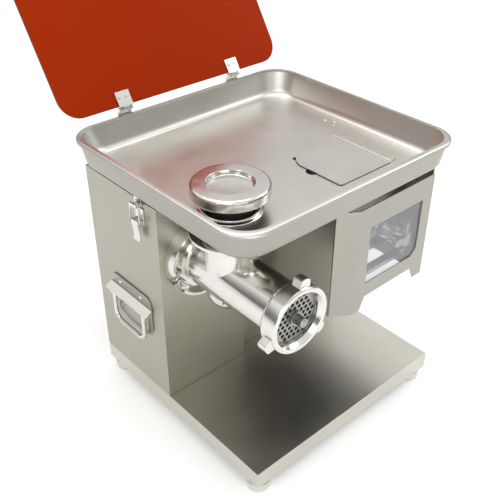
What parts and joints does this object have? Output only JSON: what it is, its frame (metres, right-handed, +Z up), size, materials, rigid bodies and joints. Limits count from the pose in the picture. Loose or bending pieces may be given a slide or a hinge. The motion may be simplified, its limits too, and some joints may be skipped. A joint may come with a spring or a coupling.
{
  "type": "electric meat grinder",
  "caption": "Bench-top electric meat grinder and slicer: square stainless body and base, front grinding head with swing bolts, feed tray with pusher, windowed slicer door, hinged orange lid.",
  "frame": {"origin": "on the floor under the middle of the whole machine's bounding box, lid open", "axes": "+X to the machine's right side (slicer side), +Y to its back, +Z up; the grinding head points along -Y"},
  "size_m": [0.438, 0.639, 0.8046],
  "materials": {
    "brushed_stainless": "satin brushed sheet",
    "polished_stainless": "mirror polished",
    "steel_shaft": "ground",
    "grey_casting": "painted casting",
    "black_rubber": "matt",
    "orange_lid": "glossy translucent sheet, orange red",
    "clear_window": "clear",
    "green_button": "moulded",
    "red_button": "moulded"
  },
  "bodies": {
    "housing": {"base_plate": "brushed_stainless", "foot_1": "black_rubber", "foot_2": "black_rubber", "foot_3": "black_rubber", "foot_4": "black_rubber", "body_shell": "brushed_stainless", "top_plate": "brushed_stainless", "back_cover": "brushed_stainless", "cable_gland": "black_rubber", "tray": "brushed_stainless", "feed_chute": "polished_stainless", "flap_strip": "brushed_stainless", "hinge_base_1": "polished_stainless", "hinge_base_2": "polished_stainless", "grinder_head": "polished_stainless", "outlet_collar": "polished_stainless", "hole_plate": "polished_stainless", "gearbox_housing": "grey_casting", "motor_body": "grey_casting", "drive_belt": "black_rubber", "slicer_box": "brushed_stainless", "feed_throat": "brushed_stainless", "bearing_plate": "polished_stainless", "latch_plate_1": "polished_stainless", "latch_plate_2": "polished_stainless", "latch_catch_1": "polished_stainless", "latch_catch_2": "polished_stainless", "handle_plate_1": "polished_stainless", "handle_plate_2": "polished_stainless", "switch_plate": "polished_stainless"},
    "lid": {"lid": "orange_lid", "hinge_leaf_1": "polished_stainless", "hinge_leaf_2": "polished_stainless"},
    "flap": {"inlet_flap": "brushed_stainless"},
    "pusher": {"pusher": "polished_stainless"},
    "ring_nut": {"ring_nut": "polished_stainless"},
    "star_knob": {"star_knob": "polished_stainless"},
    "drive": {"output_shaft": "steel_shaft", "drive_gear": "grey_casting", "auger": "grey_casting", "knife": "polished_stainless"},
    "rotor": {"motor_shaft": "steel_shaft", "motor_pulley": "grey_casting"},
    "blades_1": {"blade_shaft_1": "polished_stainless", "slicer_pulley": "grey_casting"},
    "blades_2": {"blade_shaft_2": "polished_stainless"},
    "door": {"slicer_door": "brushed_stainless", "door_window": "clear_window"},
    "start_button": {"start_button": "green_button"},
    "stop_button": {"stop_button": "red_button"},
    "swing_bolt_1": {"swing_bolt_1": "polished_stainless"},
    "wing_nut_1": {"wing_nut_1": "polished_stainless"},
    "latch_lever_1": {"latch_lever_1": "polished_stainless"},
    "latch_loop_1": {"latch_loop_1": "polished_stainless"},
    "handle_grip_1": {"handle_grip_1": "polished_stainless"},
    "swing_bolt_2": {"swing_bolt_2": "polished_stainless"},
    "wing_nut_2": {"wing_nut_2": "polished_stainless"},
    "latch_lever_2": {"latch_lever_2": "polished_stainless"},
    "latch_loop_2": {"latch_loop_2": "polished_stainless"},
    "handle_grip_2": {"handle_grip_2": "polished_stainless"}
  },
  "joints": [
    {"name": "lid_hinge", "type": "hinge", "parent": "housing", "child": "lid", "pos_m": [0, 0.10347, 0.467], "axis": [-1, 0, 0], "range_deg": [-123, 0]},
    {"name": "flap_hinge", "type": "hinge", "parent": "housing", "child": "flap", "pos_m": [0.137, -0.17053, 0.4183], "axis": [0, 1, 0], "range_deg": [0, 145]},
    {"name": "pusher_slide", "type": "slide", "parent": "housing", "child": "pusher", "axis": [0, 0, 1], "range_m": [0, 0.12]},
    {"name": "ring_nut_turn", "type": "hinge", "parent": "housing", "child": "ring_nut", "pos_m": [-0.13, -0.29953, 0.306], "axis": [0, 1, 0], "continuous": true},
    {"name": "star_knob_turn", "type": "hinge", "parent": "housing", "child": "star_knob", "pos_m": [0.164, -0.25453, 0.283], "axis": [0, 1, 0], "continuous": true},
    {"name": "drive_turn", "type": "hinge", "parent": "housing", "child": "drive", "pos_m": [-0.13, -0.20953, 0.306], "axis": [0, 1, 0], "continuous": true},
    {"name": "rotor_turn", "type": "hinge", "parent": "housing", "child": "rotor", "pos_m": [-0.08227, -0.04953, 0.25827], "axis": [0, 1, 0], "continuous": true},
    {"name": "blades_1_turn", "type": "hinge", "parent": "housing", "child": "blades_1", "pos_m": [0.07, -0.16953, 0.312], "axis": [0, 1, 0], "continuous": true},
    {"name": "blades_2_turn", "type": "hinge", "parent": "housing", "child": "blades_2", "pos_m": [0.124, -0.16953, 0.312], "axis": [0, 1, 0], "continuous": true},
    {"name": "door_hinge", "type": "hinge", "parent": "housing", "child": "door", "pos_m": [0.199, -0.26953, 0.299], "axis": [0, 0, 1], "range_deg": [0, 110]},
    {"name": "swing_bolt_1_hinge", "type": "hinge", "parent": "housing", "child": "swing_bolt_1", "pos_m": [-0.17842, -0.10033, 0.28444], "axis": [0.4067, 0, -0.9135], "range_deg": [0, 70]},
    {"name": "wing_nut_1_turn", "type": "hinge", "parent": "swing_bolt_1", "child": "wing_nut_1", "pos_m": [-0.17842, -0.11753, 0.28444], "axis": [0, 1, 0], "continuous": true},
    {"name": "swing_bolt_2_hinge", "type": "hinge", "parent": "housing", "child": "swing_bolt_2", "pos_m": [-0.08158, -0.10033, 0.32756], "axis": [-0.4067, 0, 0.9135], "range_deg": [0, 70]},
    {"name": "wing_nut_2_turn", "type": "hinge", "parent": "swing_bolt_2", "child": "wing_nut_2", "pos_m": [-0.08158, -0.11753, 0.32756], "axis": [0, 1, 0], "continuous": true},
    {"name": "latch_lever_1_hinge", "type": "hinge", "parent": "housing", "child": "latch_lever_1", "pos_m": [-0.2055, -0.05553, 0.374], "axis": [0, 1, 0], "range_deg": [0, 90]},
    {"name": "latch_loop_1_hinge", "type": "hinge", "parent": "latch_lever_1", "child": "latch_loop_1", "pos_m": [-0.2095, -0.05553, 0.374], "axis": [0, 1, 0], "range_deg": [-90, 0]},
    {"name": "handle_grip_1_hinge", "type": "hinge", "parent": "housing", "child": "handle_grip_1", "pos_m": [-0.209, -0.00953, 0.2], "axis": [0, 1, 0], "range_deg": [0, 90]},
    {"name": "latch_lever_2_hinge", "type": "hinge", "parent": "housing", "child": "latch_lever_2", "pos_m": [0.2055, -0.05553, 0.374], "axis": [0, -1, 0], "range_deg": [0, 90]},
    {"name": "latch_loop_2_hinge", "type": "hinge", "parent": "latch_lever_2", "child": "latch_loop_2", "pos_m": [0.2095, -0.05553, 0.374], "axis": [0, -1, 0], "range_deg": [-90, 0]},
    {"name": "handle_grip_2_hinge", "type": "hinge", "parent": "housing", "child": "handle_grip_2", "pos_m": [0.209, -0.00953, 0.2], "axis": [0, -1, 0], "range_deg": [0, 90]},
    {"name": "start_button_press", "type": "slide", "parent": "housing", "child": "start_button", "axis": [-1, 0, 0], "range_m": [0, 0.003], "stiffness_N_per_m": 400},
    {"name": "stop_button_press", "type": "slide", "parent": "housing", "child": "stop_button", "axis": [-1, 0, 0], "range_m": [0, 0.003], "stiffness_N_per_m": 400}
  ],
  "couplings": [
    {"joint": "rotor_turn", "follows": "drive_turn", "ratio": -4},
    {"joint": "blades_1_turn", "follows": "drive_turn", "ratio": -2.6667},
    {"joint": "blades_2_turn", "follows": "drive_turn", "ratio": 2.6667},
    {"joint": "latch_loop_1_hinge", "follows": "latch_lever_1_hinge", "ratio": -1},
    {"joint": "latch_loop_2_hinge", "follows": "latch_lever_2_hinge", "ratio": -1}
  ]
}
